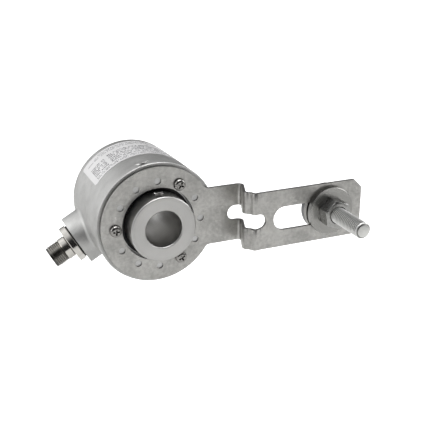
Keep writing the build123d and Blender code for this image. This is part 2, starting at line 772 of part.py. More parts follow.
# ---------------------------------------------------------------- nodes
NODES = {
    "housing": make_housing,
    "front_flange": make_front_flange,
    "flange_oring": make_flange_oring,
    "housing_grub_screws": make_housing_grub_screws,
    "rear_cover": make_rear_cover,
    "rear_cover_oring": make_rear_cover_oring,
    "rear_cover_screws": make_rear_cover_screws,
    "board_posts": make_board_posts,
    "board_spacers": make_board_spacers,
    "torque_arm": make_torque_arm,
    "torque_arm_screws": make_torque_arm_screws,
    "torque_bolt": make_torque_bolt,
    "torque_nut": make_torque_nut,
    "front_washer": lambda: make_washer(FRONT_STACK),
    "rear_washer": lambda: make_washer(REAR_STACK + WASHER_T),
    "backing_washer": lambda: make_washer(REAR_STACK + 2 * WASHER_T),
    "lock_washer": make_lock_washer,
    "hollow_shaft": make_hollow_shaft,
    "shaft_set_screws": make_shaft_set_screws,
    "front_bearing_outer_ring": lambda: make_outer_ring(FRONT_BEARING_Y),
    "front_bearing_inner_ring": lambda: make_inner_ring(FRONT_BEARING_Y),
    "front_bearing_balls": lambda: make_balls(FRONT_BEARING_Y),
    "front_bearing_cage": lambda: make_cage(FRONT_BEARING_Y),
    "rear_bearing_outer_ring": lambda: make_outer_ring(REAR_BEARING_Y),
    "rear_bearing_inner_ring": lambda: make_inner_ring(REAR_BEARING_Y),
    "rear_bearing_balls": lambda: make_balls(REAR_BEARING_Y),
    "rear_bearing_cage": lambda: make_cage(REAR_BEARING_Y),
    "bearing_outer_spacer": lambda: make_spacer(OUTER_SPACER_R, BEARING_R),
    "bearing_inner_spacer": lambda: make_spacer(SHAFT_R, INNER_SPACER_R),
    "wave_spring": make_wave_spring,
    "bearing_retaining_ring": make_retaining_ring,
    "shaft_retaining_ring": make_shaft_retaining_ring,
    "front_shaft_seal": lambda: make_shaft_seal(FRONT_SEAL_Y),
    "rear_shaft_seal": lambda: make_shaft_seal(REAR_SEAL_Y),
    "disc_hub": make_disc_hub,
    "code_disc": make_code_disc,
    "disc_clamp_ring": make_disc_clamp_ring,
    "disc_screws": make_disc_screws,
    "light_source": make_light_source,
    "collimator_lens": make_collimator_lens,
    "reticle": make_reticle,
    "sensor_frame": make_sensor_frame,
    "photo_sensor": make_photo_sensor,
    "circuit_board": make_circuit_board,
    "interface_chip": make_interface_chip,
    "board_capacitors": make_board_capacitors,
    "board_header": make_board_header,
    "ribbon_lead": make_ribbon_lead,
    "connector_shell": make_connector_shell,
    "connector_gasket": make_connector_gasket,
    "connector_insert": make_connector_insert,
    "connector_pins": make_connector_pins,
    "rating_label": make_rating_label,
}


def main():
    os.makedirs("parts", exist_ok=True)
    for name, make in NODES.items():
        export_step(make(), os.path.join("parts", name + ".step"))


main()
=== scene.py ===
import json
import math
import random

import bmesh
import bpy
from mathutils import Matrix, Vector


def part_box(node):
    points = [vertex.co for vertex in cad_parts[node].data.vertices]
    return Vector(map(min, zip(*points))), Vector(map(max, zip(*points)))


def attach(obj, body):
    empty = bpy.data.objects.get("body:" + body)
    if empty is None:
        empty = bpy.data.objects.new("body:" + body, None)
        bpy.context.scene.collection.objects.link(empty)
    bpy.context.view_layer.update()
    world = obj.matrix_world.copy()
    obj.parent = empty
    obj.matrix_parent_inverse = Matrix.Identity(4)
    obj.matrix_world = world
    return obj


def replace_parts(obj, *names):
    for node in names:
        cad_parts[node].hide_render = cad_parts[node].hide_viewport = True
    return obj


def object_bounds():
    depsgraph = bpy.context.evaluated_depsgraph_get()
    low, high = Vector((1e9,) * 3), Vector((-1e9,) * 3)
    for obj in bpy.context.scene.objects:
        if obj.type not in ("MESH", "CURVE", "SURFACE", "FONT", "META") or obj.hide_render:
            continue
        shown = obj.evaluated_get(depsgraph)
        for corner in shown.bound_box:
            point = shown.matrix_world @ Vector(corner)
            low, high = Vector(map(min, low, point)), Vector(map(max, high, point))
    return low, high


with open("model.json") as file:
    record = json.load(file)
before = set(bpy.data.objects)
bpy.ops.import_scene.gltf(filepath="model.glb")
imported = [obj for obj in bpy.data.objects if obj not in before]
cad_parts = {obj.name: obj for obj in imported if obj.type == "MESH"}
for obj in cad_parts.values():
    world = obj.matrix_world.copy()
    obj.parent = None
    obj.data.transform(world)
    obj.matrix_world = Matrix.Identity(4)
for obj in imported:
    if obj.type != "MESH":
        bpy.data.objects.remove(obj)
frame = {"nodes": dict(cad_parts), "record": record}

cad_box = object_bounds()

# ---------------------------------------------------------------- lengths, from the CAD boxes
MM = 0.001
TURN = 2 * math.pi
ORIGIN = Vector((0, 0, 0))
SHAFT_AXIS = Vector((0, 1, 0))
FRONT = Vector((0, -1, 0))


def middle(node):
    low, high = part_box(node)
    return (low + high) / 2


STUD_CENTRE = middle("torque_bolt")
plug = next(mount for mount in frame["record"]["mounts"] if mount["name"] == "plug_thread")
PLUG_AXIS = Vector(plug["axis"]).normalized()
PLUG_ORIGIN = Vector(plug["pos_m"]) - PLUG_AXIS * Vector(plug["pos_m"]).dot(PLUG_AXIS)


# ---------------------------------------------------------------- material builder
class Finish:
    """One procedural material. Texture sizes are given in millimetres on the object."""

    def __init__(self, name, color, metallic=1.0, roughness=0.4, **sockets):
        self.material = bpy.data.materials.new(name)
        self.material.use_nodes = True
        self.nodes = self.material.node_tree.nodes
        self.links = self.material.node_tree.links
        self.shader = self.nodes["Principled BSDF"]
        self.color = color
        self.shader.inputs["Base Color"].default_value = (*color, 1)
        self.shader.inputs["Metallic"].default_value = metallic
        self.shader.inputs["Roughness"].default_value = roughness
        for socket, value in sockets.items():
            self.shader.inputs[socket.replace("_", " ")].default_value = value
        coordinates = self.nodes.new("ShaderNodeTexCoord").outputs["Object"]
        self.place = self.vector("MULTIPLY", coordinates, (1 / MM,) * 3)
        self.normal = None

    def feed(self, socket, value):
        """Sets a socket, or links it if the value is another node's output."""
        if isinstance(value, bpy.types.NodeSocket):
            self.links.new(value, socket)
        else:
            socket.default_value = value

    def math(self, operation, *values):
        node = self.nodes.new("ShaderNodeMath")
        node.operation = operation
        for socket, value in zip(node.inputs, values):
            self.feed(socket, value)
        return node.outputs[0]

    def vector(self, operation, *values, output="Vector"):
        node = self.nodes.new("ShaderNodeVectorMath")
        node.operation = operation
        for socket, value in zip(node.inputs, values):
            self.feed(socket, value)
        return node.outputs[output]

    def combine(self, x, y, z=0.0):
        node = self.nodes.new("ShaderNodeCombineXYZ")
        for socket, value in zip(node.inputs, (x, y, z)):
            self.feed(socket, value)
        return node.outputs[0]

    def round_axis(self, origin, axis):
        """(radius, distance along, angle) of each point about an axis, in mm and radians."""
        offset = self.vector("SUBTRACT", self.place, tuple(origin / MM))
        side = axis.orthogonal().normalized()
        other = axis.cross(side)
        along = self.vector("DOT_PRODUCT", offset, tuple(axis), output="Value")
        first = self.vector("DOT_PRODUCT", offset, tuple(side), output="Value")
        second = self.vector("DOT_PRODUCT", offset, tuple(other), output="Value")
        radius = self.vector("LENGTH", self.combine(first, second), output="Value")
        return radius, along, self.math("ARCTAN2", second, first)

    def noise(self, size, place=None, detail=3.0, stretch=(1, 1, 1), rough=0.55):
        """Noise whose blotches are about size millimetres across."""
        texture = self.nodes.new("ShaderNodeTexNoise")
        place = self.place if place is None else place
        if tuple(stretch) != (1, 1, 1):
            place = self.vector("DIVIDE", place, tuple(stretch))
        self.feed(texture.inputs["Vector"], place)
        texture.inputs["Scale"].default_value = 1 / size
        texture.inputs["Detail"].default_value = detail
        texture.inputs["Roughness"].default_value = rough
        return texture.outputs["Fac"]

    def cells(self, size):
        """Distance to the middle of random cells about size millimetres across."""
        texture = self.nodes.new("ShaderNodeTexVoronoi")
        self.feed(texture.inputs["Vector"], self.place)
        texture.inputs["Scale"].default_value = 1 / size
        return texture.outputs["Distance"]

    def remap(self, value, low, high, to_low=0.0, to_high=1.0):
        node = self.nodes.new("ShaderNodeMapRange")
        for name, given in (("Value", value), ("From Min", low), ("From Max", high),
                            ("To Min", to_low), ("To Max", to_high)):
            self.feed(node.inputs[name], given)
        return node.outputs["Result"]

    def blend(self, amount, first, second):
        """Colour between two colours or colour outputs."""
        node = self.nodes.new("ShaderNodeMix")
        node.data_type = "RGBA"
        self.feed(node.inputs["Factor"], amount)
        for name, color in (("A", first), ("B", second)):
            socket = next(s for s in node.inputs if s.name == name and s.type == "RGBA")
            self.feed(socket, color if isinstance(color, bpy.types.NodeSocket) else (*color, 1))
        return next(s for s in node.outputs if s.type == "RGBA")

    def shade(self, factor):
        """The base colour made lighter or darker."""
        return tuple(min(1.0, channel * factor) for channel in self.color)

    def edges(self, reach):
        """1 on edges that stand out, 0 elsewhere; reach in millimetres."""
        node = self.nodes.new("ShaderNodeAmbientOcclusion")
        node.inside = True
        node.only_local = True
        node.samples = 6
        node.inputs["Distance"].default_value = reach * MM
        return self.remap(node.outputs["AO"], 0.85, 0.45)

    def corners(self, reach):
        """1 in crevices, 0 in the open; reach in millimetres."""
        node = self.nodes.new("ShaderNodeAmbientOcclusion")
        node.samples = 6
        node.inputs["Distance"].default_value = reach * MM
        return self.remap(node.outputs["AO"], 0.75, 0.15)

    def base(self, color):
        self.feed(self.shader.inputs["Base Color"], color)

    def roughness(self, value):
        self.feed(self.shader.inputs["Roughness"], value)

    def bump(self, height, depth, strength=1.0):
        """Raises the surface by a height between 0 and 1, times depth millimetres."""
        node = self.nodes.new("ShaderNodeBump")
        node.inputs["Distance"].default_value = depth * MM
        node.inputs["Strength"].default_value = strength
        self.feed(node.inputs["Height"], height)
        if self.normal is not None:
            self.feed(node.inputs["Normal"], self.normal)
        self.normal = node.outputs["Normal"]
        self.feed(self.shader.inputs["Normal"], self.normal)


# ---------------------------------------------------------------- finishes
def metal(name, color, roughness, mottle=6.0, grain=0.35, spread=0.08, edge_light=1.25, depth=0.012):
    """Plain worked metal: faint blotches, fine grain, edges brightened as wear and painted highlight, and
    painted shade darkening the crevices.
    """
    finish = Finish(name, color, roughness=roughness)
    blotch = finish.noise(mottle, detail=4)
    fine = finish.noise(grain, detail=2)
    tone = finish.math("ADD", finish.math("MULTIPLY", blotch, 0.7), finish.math("MULTIPLY", fine, 0.3))
    tone = finish.remap(tone, 0.3, 0.7)
    body = finish.blend(tone, finish.shade(1 - spread), finish.shade(1 + spread))
    # edges brightened: partly wear, partly a painted highlight along the edges
    wear_and_highlight = finish.blend(finish.edges(0.5), body, finish.shade(edge_light))
    # painted shade: the base colour is darkened in crevices, where shade falls
    finish.base(finish.blend(finish.math("MULTIPLY", finish.corners(2.5), 0.6), wear_and_highlight, finish.shade(0.45)))
    finish.roughness(finish.remap(tone, 0, 1, roughness * 1.15, roughness * 0.85))
    finish.bump(fine, depth)
    return finish


def cast_aluminium():
    """Blasted casting with a tight matte grain, soft unevenness and a few darker handling marks."""
    color = (0.60, 0.60, 0.592)
    finish = Finish("cast_aluminium", color, roughness=0.52)
    grain = finish.noise(0.28, detail=2)
    pores = finish.cells(0.45)
    waves = finish.noise(9.0, detail=2)
    smudge = finish.remap(finish.noise(13.0, detail=5, rough=0.65), 0.52, 0.72)
    tone = finish.remap(finish.math("ADD", grain, waves), 0.7, 1.3)
    body = finish.blend(tone, finish.shade(0.85), finish.shade(1.10))
    body = finish.blend(finish.math("MULTIPLY", smudge, 0.35), body, finish.shade(0.74))
    # painted highlight: convex edges are lightened
    body = finish.blend(finish.math("MULTIPLY", finish.edges(0.6), 0.5), body, finish.shade(1.1))
    # painted shade: the base colour is darkened in crevices and at joins, where shade falls
    finish.base(finish.blend(finish.math("MULTIPLY", finish.corners(3.0), 0.5), body, finish.shade(0.5)))
    finish.roughness(finish.remap(finish.math("ADD", grain, smudge), 0.3, 1.4, 0.46, 0.62))
    finish.bump(waves, 0.05, 0.5)
    finish.bump(pores, 0.012, 0.8)
    finish.bump(grain, 0.010)
    return finish


def arm_sheet():
    """Mill-finish stainless sheet: rolling lines along the arm, tumbling mottle, small scratches."""
    color = (0.50, 0.494, 0.478)
    finish = Finish("arm_sheet", color, roughness=0.32)
    rolled = finish.noise(0.22, detail=3, stretch=(40, 1, 1))
    mottle = finish.noise(1.7, detail=4, rough=0.6)
    cloud = finish.noise(12.0, detail=2)
    scratch_a = finish.noise(0.16, detail=1, stretch=(30, 30, 1))
    scratches = finish.remap(scratch_a, 0.66, 0.74)
    tone = finish.math("ADD", finish.math("MULTIPLY", mottle, 0.5), finish.math("MULTIPLY", cloud, 0.5))
    tone = finish.remap(tone, 0.38, 0.62)
    body = finish.blend(tone, finish.shade(0.74), finish.shade(1.16))
    lines = finish.math("MULTIPLY", finish.remap(rolled, 0.35, 0.65), 0.25)
    body = finish.blend(lines, body, finish.shade(1.2))
    body = finish.blend(finish.math("MULTIPLY", scratches, 0.4), body, finish.shade(1.35))
    # painted shade: the sheet's edges are darkened into dark outline lines
    body = finish.blend(finish.math("MULTIPLY", finish.edges(0.4), 0.6), body, finish.shade(0.72))
    # painted shade: the base colour is darkened in crevices, where shade falls
    finish.base(finish.blend(finish.math("MULTIPLY", finish.corners(3.0), 0.2), body, finish.shade(0.5)))
    finish.roughness(finish.remap(finish.math("ADD", rolled, mottle), 0.7, 1.3, 0.38, 0.26))
    finish.bump(mottle, 0.02, 0.5)
    finish.bump(rolled, 0.006)
    finish.bump(scratches, -0.006)
    return finish


def turned(name, color, roughness, origin, axis, pitch=0.12, spread=0.07, depth=0.006, sheen=0.5,
           crevice_shade=0.6, thread_radii=None):
    """Metal cut on a lathe: fine rings about the axis, with the tone drifting slowly across them.

    thread_radii are the root and crest radius of a thread, whose grooves are darkened with painted shade."""
    finish = Finish(name, color, roughness=roughness)
    finish.shader.inputs["Anisotropic"].default_value = sheen
    tangent = finish.nodes.new("ShaderNodeTangent")
    tangent.direction_type = "RADIAL"
    tangent.axis = "XYZ"[max(range(3), key=lambda index: abs(axis[index]))]
    finish.feed(finish.shader.inputs["Tangent"], tangent.outputs["Tangent"])
    radius, along, _ = finish.round_axis(origin, axis)
    rings = finish.noise(pitch, finish.combine(radius, along), detail=2)
    bands = finish.noise(pitch * 9, finish.combine(radius, along), detail=2)
    cloud = finish.noise(5.0, detail=3)
    tone = finish.math("ADD", finish.math("MULTIPLY", rings, 0.4), finish.math("MULTIPLY", bands, 0.35))
    tone = finish.remap(finish.math("ADD", tone, finish.math("MULTIPLY", cloud, 0.25)), 0.35, 0.65)
    body = finish.blend(tone, finish.shade(1 - spread), finish.shade(1 + spread))
    # painted highlight: convex edges are lightened
    body = finish.blend(finish.math("MULTIPLY", finish.edges(0.35), 0.8), body, finish.shade(1.35))
    if thread_radii:
        root, crest = thread_radii
        # painted shade: the thread grooves are darkened towards the root
        groove = finish.remap(radius, crest, root)
        wall = finish.remap(radius, root - 0.25, root - 0.15)
        body = finish.blend(finish.math("MULTIPLY", groove, wall), body, finish.shade(0.18))
    # painted shade: the base colour is darkened in crevices, where shade falls
    painted_crevice_shade = finish.math("MULTIPLY", finish.corners(2.5), crevice_shade)
    finish.base(finish.blend(painted_crevice_shade, body, finish.shade(0.35)))
    finish.roughness(finish.remap(tone, 0, 1, roughness * 1.2, roughness * 0.85))
    finish.bump(rings, depth)
    finish.bump(bands, depth, 0.6)
    return finish


def rubber():
    """Matt black seal rubber with a little pale dust."""
    finish = Finish("seal_rubber", (0.025, 0.025, 0.027), metallic=0.0, roughness=0.6)
    grain = finish.noise(0.2, detail=3)
    dust = finish.remap(finish.noise(4.0, detail=4), 0.5, 0.8)
    finish.base(finish.blend(finish.math("MULTIPLY", dust, 0.4), finish.shade(1.0), (0.09, 0.09, 0.085)))
    finish.roughness(finish.remap(grain, 0.3, 0.7, 0.5, 0.75))
    finish.bump(grain, 0.01)
    return finish


def moulding(name, color, roughness=0.5):
    """Glass-filled plastic with a spark-eroded mould texture and pale flow clouds."""
    finish = Finish(name, color, metallic=0.0, roughness=roughness)
    spark = finish.cells(0.18)
    flow = finish.noise(3.0, detail=4, stretch=(1, 3, 1))
    finish.base(finish.blend(finish.remap(flow, 0.35, 0.7), finish.shade(0.85), finish.shade(1.5)))
    finish.roughness(finish.remap(spark, 0.0, 0.6, roughness * 0.85, roughness * 1.2))
    finish.bump(spark, 0.012)
    return finish


def board_laminate():
    """Solder mask over copper: a lighter net of tracks round the ring, and bare pads."""
    finish = Finish("board_laminate", (0.02, 0.16, 0.07), metallic=0.0, roughness=0.32, Coat_Weight=0.4)
    radius, _, angle = finish.round_axis(ORIGIN, SHAFT_AXIS)
    tracks = finish.remap(finish.math("PINGPONG", radius, 0.45), 0.26, 0.32)
    spokes = finish.remap(finish.math("PINGPONG", finish.math("MULTIPLY", angle, 21.0), 0.45), 0.35, 0.4)
    choose = finish.remap(finish.noise(5.0, detail=0), 0.48, 0.52)
    pattern = finish.math("ADD", finish.math("MULTIPLY", tracks, choose),
                          finish.math("MULTIPLY", spokes, finish.math("SUBTRACT", 1.0, choose)))
    finish.base(finish.blend(pattern, finish.shade(1.0), (0.05, 0.30, 0.13)))
    finish.roughness(finish.remap(finish.noise(1.0), 0.3, 0.7, 0.26, 0.4))
    finish.bump(pattern, 0.03)
    return finish


def lead_film():
    """Amber film lead with copper tracks showing through."""
    finish = Finish("lead_film", (0.62, 0.27, 0.04), metallic=0.0, roughness=0.3, Coat_Weight=0.5)
    across = finish.vector("DOT_PRODUCT", finish.place, tuple(PLUG_AXIS.cross(SHAFT_AXIS)), output="Value")
    tracks = finish.remap(finish.math("PINGPONG", across, 0.5), 0.22, 0.28)
    finish.base(finish.blend(tracks, finish.shade(1.0), (0.35, 0.12, 0.03)))
    finish.roughness(finish.remap(finish.noise(0.8), 0.3, 0.7, 0.24, 0.38))
    finish.bump(tracks, 0.02)
    return finish


def ceramic():
    """Fired brown ceramic of the chip capacitors."""
    finish = Finish("capacitor_ceramic", (0.45, 0.30, 0.18), metallic=0.0, roughness=0.4)
    fired = finish.noise(0.5, detail=4)
    finish.base(finish.blend(fired, finish.shade(0.8), finish.shade(1.25)))
    finish.roughness(finish.remap(fired, 0.3, 0.7, 0.32, 0.5))
    finish.bump(fired, 0.01)
    return finish


def optical_glass(name, lines=0, inner=0.0):
    """Clear glass; the code disc has fine radial bars outside the inner radius."""
    finish = Finish(name, (0.86, 0.93, 0.94), metallic=0.0, roughness=0.05, IOR=1.5)
    finish.shader.inputs["Transmission Weight"].default_value = 0.8
    haze = finish.noise(2.5, detail=4)
    color = finish.blend(haze, finish.shade(0.97), finish.shade(1.04))
    if lines:
        radius, _, angle = finish.round_axis(ORIGIN, SHAFT_AXIS)
        bars = finish.math("PINGPONG", finish.math("MULTIPLY", angle, lines / TURN), 0.5)
        bars = finish.math("GREATER_THAN", bars, 0.25)
        band = finish.math("GREATER_THAN", radius, inner)
        color = finish.blend(finish.math("MULTIPLY", bars, band), color, (0.05, 0.05, 0.06))
    finish.base(color)
    finish.roughness(finish.remap(haze, 0.3, 0.7, 0.03, 0.10))
    finish.bump(haze, 0.002)
    return finish


def label_foil():
    """White printed polyester foil with a satin grain and slightly darker edges."""
    finish = Finish("label_foil", (0.98, 0.98, 1.0), metallic=0.0, roughness=0.34, Coat_Weight=0.5)
    fibre = finish.noise(0.12, detail=2, stretch=(1, 4, 1))
    cloud = finish.noise(6.0, detail=4)
    body = finish.blend(finish.remap(cloud, 0.35, 0.7), finish.shade(1.0), finish.shade(0.94))
    finish.base(finish.blend(finish.math("MULTIPLY", finish.edges(0.25), 0.5), body, (0.62, 0.61, 0.60)))
    finish.roughness(finish.remap(fibre, 0.3, 0.7, 0.28, 0.42))
    finish.bump(fibre, 0.004)
    finish.bump(cloud, 0.02, 0.5)
    return finish


def label_ink():
    """Black print, slightly worn in small patches."""
    finish = Finish("label_ink", (0.045, 0.045, 0.055), metallic=0.0, roughness=0.5)
    wear_and_highlight = finish.noise(0.5, detail=3)
    finish.base(finish.blend(finish.remap(wear_and_highlight, 0.5, 0.8), finish.shade(1.0), (0.10, 0.10, 0.11)))
    finish.roughness(finish.remap(wear_and_highlight, 0.3, 0.7, 0.4, 0.6))
    finish.bump(wear_and_highlight, 0.002)
    return finish


finishes = {
    "cast_aluminium": cast_aluminium(),
    "machined_aluminium": turned("machined_aluminium", (0.62, 0.62, 0.62), 0.34, ORIGIN, SHAFT_AXIS, 0.16),
    "arm_sheet": arm_sheet(),
    "shaft_steel": turned("shaft_steel", (0.58, 0.575, 0.565), 0.34, ORIGIN, SHAFT_AXIS, 0.10,
                          crevice_shade=0.10),
    "screw_steel": metal("screw_steel", (0.36, 0.352, 0.34), 0.16, mottle=1.5, grain=0.25, depth=0.006),
    "stud_steel": turned("stud_steel", (0.84, 0.84, 0.82), 0.38, STUD_CENTRE, SHAFT_AXIS, 0.12,
                         crevice_shade=0.3, thread_radii=(3.35, 3.85)),
    "nut_steel": metal("nut_steel", (0.42, 0.42, 0.41), 0.27, mottle=3.0, grain=0.2, spread=0.12,
                       edge_light=1.9),
    "washer_steel": turned("washer_steel", (0.39, 0.386, 0.373), 0.28, STUD_CENTRE, SHAFT_AXIS, 0.35,
                           crevice_shade=0.4),
    "spring_steel": metal("spring_steel", (0.24, 0.24, 0.25), 0.32, mottle=2.0, edge_light=1.6),
    "bearing_steel": metal("bearing_steel", (0.74, 0.74, 0.75), 0.10, mottle=4.0, grain=0.1, spread=0.03,
                           depth=0.001),
    "cage_steel": metal("cage_steel", (0.58, 0.54, 0.46), 0.30, mottle=2.0),
    "nickel_plate": turned("nickel_plate", (0.74, 0.72, 0.68), 0.14, PLUG_ORIGIN, PLUG_AXIS, 0.10,
                           spread=0.04, depth=0.003, sheen=0.0, crevice_shade=0.4, thread_radii=(5.45, 5.85)),
    "contact_gold": metal("contact_gold", (0.83, 0.60, 0.26), 0.20, mottle=1.0, grain=0.1, depth=0.002),
    "seal_rubber": rubber(),
    "black_moulding": moulding("black_moulding", (0.022, 0.022, 0.024)),
    "board_laminate": board_laminate(),
    "lead_film": lead_film(),
    "capacitor_ceramic": ceramic(),
    "optical_glass": optical_glass("optical_glass"),
    "label_foil": label_foil(),
    "label_ink": label_ink(),
}
disc_glass = optical_glass("code_disc_glass", lines=256, inner=18.0)


def dress(obj, finish):
    """Gives a piece one finish."""
    obj.data.materials.clear()
    obj.data.materials.append(finish.material)


SLOT_OF = {part["node"]: part["material_slot"] for part in frame["record"]["subparts"]}
for node_name, node_object in frame["nodes"].items():
    dress(node_object, finishes[SLOT_OF[node_name]])
dress(frame["nodes"]["code_disc"], disc_glass)


# ---------------------------------------------------------------- mesh builder
def piece(name, mesh, body, finish, smooth_angle=35):
    """Makes an object from a bmesh, lets it ride on a body and gives it its finish."""
    bmesh.ops.remove_doubles(mesh, verts=mesh.verts, dist=0.002 * MM)
    bmesh.ops.dissolve_degenerate(mesh, edges=mesh.edges, dist=0.001 * MM)
    bmesh.ops.recalc_face_normals(mesh, faces=mesh.faces)
    for face in mesh.faces:
        face.smooth = True
    for edge in mesh.edges:
        if len(edge.link_faces) == 2 and edge.calc_face_angle(0) > math.radians(smooth_angle):
            edge.smooth = False
    data = bpy.data.meshes.new(name)
    mesh.to_mesh(data)
    mesh.free()
    obj = bpy.data.objects.new(name, data)
    bpy.context.scene.collection.objects.link(obj)
    dress(obj, finish)
    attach(obj, body)
    return obj


def lathe(mesh, profile, segments=96, radius_at=None):
    """Turns (radius, height) points about local Z. radius_at(angle, radius, height) may reshape it."""
    rings = []
    for radius, height in profile:
        row = []
        for index in range(segments):
            turn = TURN * index / segments
            reach = radius if radius_at is None else radius_at(turn, radius, height)
            row.append(mesh.verts.new((reach * math.cos(turn), reach * math.sin(turn), height)))
        rings.append(row)
    for low, high in zip(rings, rings[1:]):
        for index in range(segments):
            after = (index + 1) % segments
            mesh.faces.new((low[index], low[after], high[after], high[index]))


def cap(mesh, row):
    """Closes a ring of vertices with one flat face."""
    mesh.faces.new(row)


def thread(mesh, radius, pitch, start, end, entry=0.0, exit_=0.0, segments=72):
    """Right-hand screw thread about local Z between two heights, cut flat at both ends.

    entry and exit_ are the lengths over which the crest comes down to the root."""
    depth = THREAD_DEPTH * pitch
    corners = ((0.0, 1.0), (0.10, 1.0), (0.42, 0.06), (0.50, 0.0), (0.62, 0.0), (0.70, 0.06))
    turns = int((end - start) / pitch) + 3
    rows = []
    for turn_index in range(-1, turns):
        for share, lift in corners:
            row = []
            for index in range(segments + 1):
                height = start + pitch * (turn_index + share + index / segments)
                height = min(max(height, start), end)
                crest = radius
                if entry:
                    crest = min(crest, radius - depth + (height - start) / entry * depth)
                if exit_:
                    crest = min(crest, radius - depth * max(0.0, 1 - (end - height) / exit_))
                reach = min(radius - depth * (1 - lift), crest)
                turn = TURN * index / segments
                row.append(mesh.verts.new((reach * math.cos(turn), reach * math.sin(turn), height)))
            rows.append(row)
    for low, high in zip(rows, rows[1:]):
        for index in range(segments):
            mesh.faces.new((low[index], low[index + 1], high[index + 1], high[index]))


def hex_radius(flats):
    """Reach of a hexagon's side in each direction, with two flats facing local X."""
    def reach(turn):
        folded = (turn + math.pi / 6) % (math.pi / 3) - math.pi / 6
        return flats / 2 / math.cos(folded)
    return reach


def hexagon(mesh, flats, start, end, bore, top_chamfer=True, segments=144):
    """Hexagon with an open bore, its corners turned off at 30 degrees at the start and, if asked, the end.

    face_r is the radius of the round flat that the turning leaves on an end face."""
    side = hex_radius(flats)
    face_r = flats / 2 * 0.97
    slope = math.tan(math.radians(30))

    def reach(turn, radius, height):
        limit = min(side(turn), face_r + (height - start) / slope)
        if top_chamfer:
            limit = min(limit, face_r + (end - height) / slope)
        return min(radius, limit)

    corner = flats / math.sqrt(3)
    rise = (corner - face_r) * slope
    steps = 7
    heights = [start + rise * index / steps for index in range(steps + 1)]
    heights += [end - rise * index / steps for index in range(steps, -1, -1)] if top_chamfer else [end]
    sink = 0.5 * MM
    profile = [(bore + sink, start), *[(corner, height) for height in heights], (bore + sink, end)]
    profile += [(bore, end - sink), (bore, start + sink), (bore + sink, start)]
    lathe(mesh, profile, segments, reach)


def placed(mesh, origin, axis, side):
    """Moves local Z onto an axis at an origin; side is the direction that local X takes."""
    other = axis.cross(side)
    matrix = Matrix((side, other, axis)).transposed().to_4x4()
    matrix.translation = origin
    bmesh.ops.transform(mesh, matrix=matrix, verts=mesh.verts)
    return mesh


# ---------------------------------------------------------------- torque stud
EAST = Vector((1, 0, 0))
THREAD_DEPTH = 0.61  # of a metric thread, as a share of its pitch
M8_PITCH = 1.25 * MM
bolt_low, bolt_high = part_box("torque_bolt")
nut_low, nut_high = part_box("torque_nut")
_, lock_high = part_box("lock_washer")
M8_R = 4.0 * MM
M8_FLATS = 13.0 * MM
NUT_TURN = math.radians(10)
NUT_SIDE = Vector((math.cos(NUT_TURN), 0, math.sin(NUT_TURN)))


def make_bolt():
    """Hexagon bolt seen tip first: rolled thread, rounded tip chamfer, chamfered head."""
    mesh = bmesh.new()
    length = bolt_high.y - bolt_low.y
    head = bolt_high.y - lock_high.y
    neck = head + 2.0 * MM
    lead = 1.0 * MM
    inside = 0.02 * MM
    hexagon(mesh, M8_FLATS - inside, inside, head, M8_R - inside, top_chamfer=False)
    lathe(mesh, [(0.0, inside), (M8_R, inside)], 72)
    lathe(mesh, [(M8_R, head - inside), (M8_R - inside, neck)], 72)
    thread(mesh, M8_R, M8_PITCH, neck, length - lead, entry=0.6 * MM)
    root = M8_R - THREAD_DEPTH * M8_PITCH
    tip = length - inside
    lathe(mesh, [(root, length - lead - 0.3 * MM), (M8_R - 0.12 * MM, length - lead),
                 (M8_R - 0.35 * MM, length - 0.65 * MM), (M8_R - 0.9 * MM, length - 0.12 * MM),
                 (M8_R - 1.15 * MM, tip), (0.0, tip)], 72)
    base = Vector((STUD_CENTRE.x, bolt_high.y, STUD_CENTRE.z))
    return piece("torque_bolt_threaded", placed(mesh, base, FRONT, EAST), "torque_stud",
                 finishes["stud_steel"])


def make_nut():
    """Hexagon nut with turned-off corners on both faces and a countersunk bore."""
    mesh = bmesh.new()
    height = nut_high.y - nut_low.y
    hexagon(mesh, M8_FLATS - 0.02 * MM, 0.01 * MM, height - 0.01 * MM, M8_R + 0.02 * MM)
    base = Vector((STUD_CENTRE.x, nut_high.y, STUD_CENTRE.z))
    return piece("torque_nut_chamfered", placed(mesh, base, FRONT, NUT_SIDE), "torque_stud",
                 finishes["nut_steel"])


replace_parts(make_bolt(), "torque_bolt")
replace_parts(make_nut(), "torque_nut")


# ---------------------------------------------------------------- connector
SHELL_SEAT = 36.7 * MM
COLLAR_END = 39.9 * MM
COLLAR_R = 10.1 * MM
COLLAR_FLATS = 17.6 * MM
COLLAR_TURN = math.radians(130)
GLAND_R = 8.0 * MM
GLAND_START = 28.2 * MM
THREAD_R = 6.0 * MM
SHELL_END = 51.0 * MM
SOCKET_R = 4.6 * MM
INSERT_FACE = 44.4 * MM
INSERT_FLANGE = 3.0 * MM


def wrench_flats(turn, radius, height):
    """Reach of the round collar, cut by two flats that face local X."""
    return min(radius, COLLAR_FLATS / 2 / max(abs(math.cos(turn)), 0.01))


